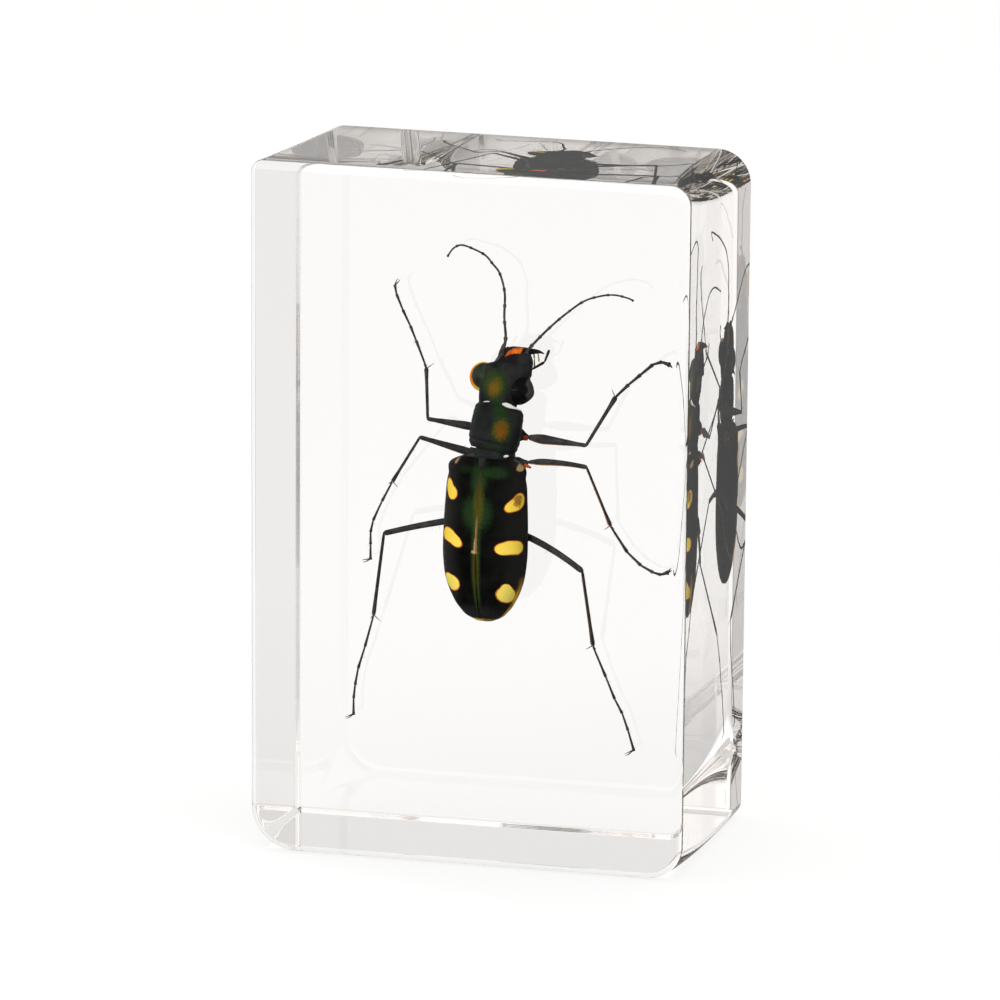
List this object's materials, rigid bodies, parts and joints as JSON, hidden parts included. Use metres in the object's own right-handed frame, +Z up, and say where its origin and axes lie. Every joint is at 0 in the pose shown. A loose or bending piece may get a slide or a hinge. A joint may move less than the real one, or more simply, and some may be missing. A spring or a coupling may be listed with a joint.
{
  "type": "insect in resin block",
  "caption": "Small clear casting-resin block standing on its short end, with a dried tiger beetle sealed head up inside it, its back towards the front face.",
  "frame": {"origin": "middle of the block's flat base, which is the bottom centre of the bounding box", "axes": "+Z up along the block's long side, -Y out of the front face that the beetle's back is turned to, +X to the right of someone who looks at that face"},
  "size_m": [0.028, 0.0176, 0.044],
  "materials": {
    "clear_resin": "polished clear polyester casting resin",
    "beetle_black": "glossy black-green beetle cuticle"
  },
  "bodies": {
    "root": {"resin_front_half": "clear_resin", "resin_back_half": "clear_resin", "tiger_beetle": "beetle_black"}
  },
  "joints": []
}
